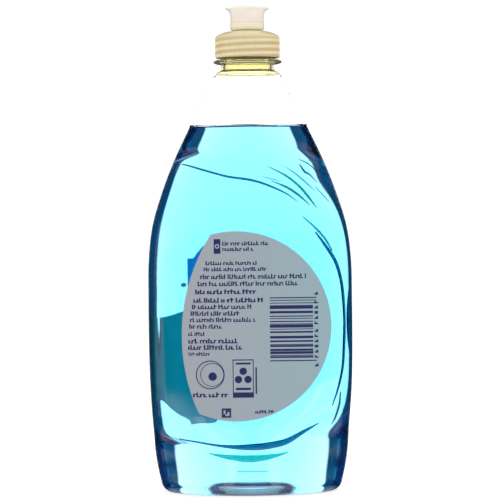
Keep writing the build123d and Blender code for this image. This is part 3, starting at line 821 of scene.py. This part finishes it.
spread = add(tree, "ShaderNodeSeparateXYZ", {0: way})
elevation = add(tree, "ShaderNodeMath", {0: spread.outputs["Z"]}, operation="ARCSINE").outputs[0]
WINDOWS = [  # azimuth from +Y towards +X, half width, lowest and highest elevation, radiance
    (0, 27, -27, 21, 2.2), (0, 27, 21, 44, 1.1), (0, 60, -91, -30, 0.9), (180, 120, -91, -42, 0.5),
    (0, 100, 26, 91, 0.8), (-90, 21, -17, 12, 0.8), (90, 19, -17, 12, 0.7), (135, 28, -40, -12, 1.3),
    (-135, 28, -40, -12, 1.3), (180, 24, -30, -13, 1.0)]
WINDOW_EDGE = 1.5
glow = 0.0
for middle, half, low, high, radiance in WINDOWS:
    turned_way = add(tree, "ShaderNodeVectorRotate", {
        "Vector": way, "Angle": math.radians(middle)}, rotation_type="Z_AXIS")
    side_on = add(tree, "ShaderNodeSeparateXYZ", {0: turned_way.outputs[0]})
    azimuth = add(tree, "ShaderNodeMath", {0: side_on.outputs["X"], 1: side_on.outputs["Y"]}, operation="ARCTAN2")
    across = band(tree, azimuth.outputs[0], -half, half, WINDOW_EDGE)
    upright = band(tree, elevation, low, high, WINDOW_EDGE)
    both = add(tree, "ShaderNodeMath", {0: across, 1: upright}, operation="MULTIPLY")
    scaled = add(tree, "ShaderNodeMath", {0: both.outputs[0], 1: radiance, 2: glow}, operation="MULTIPLY_ADD")
    glow = scaled.outputs[0]
lit_way = add(tree, "ShaderNodeMath", {0: glow, 1: 1.0}, operation="MINIMUM", use_clamp=True)
ray = add(tree, "ShaderNodeLightPath")

# Radiance of the room between the windows, as light through the wall and as reflections see it, and of
# the screen and the soft light on the solid pieces.
ROOM_BESIDE, ROOM_AHEAD = (0.010, 0.060, 0.135, 1.0), (0.014, 0.085, 0.170, 1.0)
MIRRORED_ROOM, MIRRORED_MIDDLE = (0.04, 0.10, 0.14, 1.0), (0.01, 0.02, 0.03, 1.0)
MIRRORED_TABLE = (0.75, 0.75, 0.75, 1.0)
SOFT_LIGHT, SCREEN = (1.25, 1.25, 1.25, 1.0), (1.05, 1.05, 1.05, 1.0)

forward = add(tree, "ShaderNodeMapRange", {"Value": spread.outputs["Y"], "From Min": 0.1, "From Max": 0.8})
room = add(tree, "ShaderNodeMix", {0: forward.outputs[0], 6: ROOM_BESIDE, 7: ROOM_AHEAD}, data_type="RGBA")
bright = add(tree, "ShaderNodeCombineXYZ", {0: glow, 1: glow, 2: glow})
through = add(tree, "ShaderNodeMix", {0: lit_way.outputs[0], 6: room.outputs[2], 7: bright.outputs[0]},
              data_type="RGBA")
middle_band = band(tree, elevation, -28, 45, 8)
around = add(tree, "ShaderNodeMix", {0: middle_band, 6: MIRRORED_ROOM, 7: MIRRORED_MIDDLE}, data_type="RGBA")
table_band = band(tree, elevation, -95, -34, 4)
mirrored = add(tree, "ShaderNodeMix", {0: table_band, 6: around.outputs[2], 7: MIRRORED_TABLE}, data_type="RGBA")
scattered = add(tree, "ShaderNodeMix", {0: ray.outputs["Is Glossy Ray"], 6: SOFT_LIGHT, 7: mirrored.outputs[2]},
                data_type="RGBA")
bent = add(tree, "ShaderNodeMix", {0: ray.outputs["Is Transmission Ray"], 6: scattered.outputs[2],
                                   7: through.outputs[2]}, data_type="RGBA")
seen = add(tree, "ShaderNodeMix", {0: ray.outputs["Is Camera Ray"], 6: bent.outputs[2], 7: SCREEN}, data_type="RGBA")
light = add(tree, "ShaderNodeBackground", {"Color": seen.outputs[2], "Strength": 1.0})
add(tree, "ShaderNodeOutputWorld", {"Surface": light.outputs[0]})

# White acrylic, lit from below as well, so the table comes near the white of the screen.
w = 6.0  # half width of the table
floor_mesh = bpy.data.meshes.new("floor")
floor_mesh.from_pydata([(-w, -w, 0), (w, -w, 0), (w, w, 0), (-w, w, 0)], [], [(0, 1, 2, 3)])
floor = bpy.data.objects.new("floor", floor_mesh)
bpy.context.collection.objects.link(floor)
floor_paint, tree, out = new_material("white acrylic table")
glow = add(tree, "ShaderNodeEmission", {"Color": (1.0, 1.0, 1.0, 1.0), "Strength": 0.76})
matt = add(tree, "ShaderNodeBsdfDiffuse", {"Color": srgb("#9C9C9C")})
both = add(tree, "ShaderNodeAddShader", {0: glow.outputs[0], 1: matt.outputs[0]})
tree.links.new(both.outputs[0], out.inputs["Surface"])
floor_mesh.materials.append(floor_paint)
floor.visible_transmission = False
floor.visible_glossy = False

CAMERA_DISTANCE, CAMERA_SIDEWAYS, CAMERA_HEIGHT, AIM_HEIGHT = 1.0, 0.0006, 0.150, 0.1165
CAMERA_ROLL = 0.6  # degrees
VIEW_WIDTH, SENSOR_WIDTH = 0.2412, 36.0
camera_data = bpy.data.cameras.new("camera")
camera_data.sensor_width = SENSOR_WIDTH
camera_data.lens = SENSOR_WIDTH * CAMERA_DISTANCE / VIEW_WIDTH
camera = bpy.data.objects.new("camera", camera_data)
bpy.context.collection.objects.link(camera)
pitch = math.atan2(AIM_HEIGHT - CAMERA_HEIGHT, CAMERA_DISTANCE)
camera.location = (CAMERA_SIDEWAYS, -CAMERA_DISTANCE, CAMERA_HEIGHT)
camera.rotation_euler = (math.pi / 2 + pitch, math.radians(CAMERA_ROLL), 0.0)
scene.camera = camera
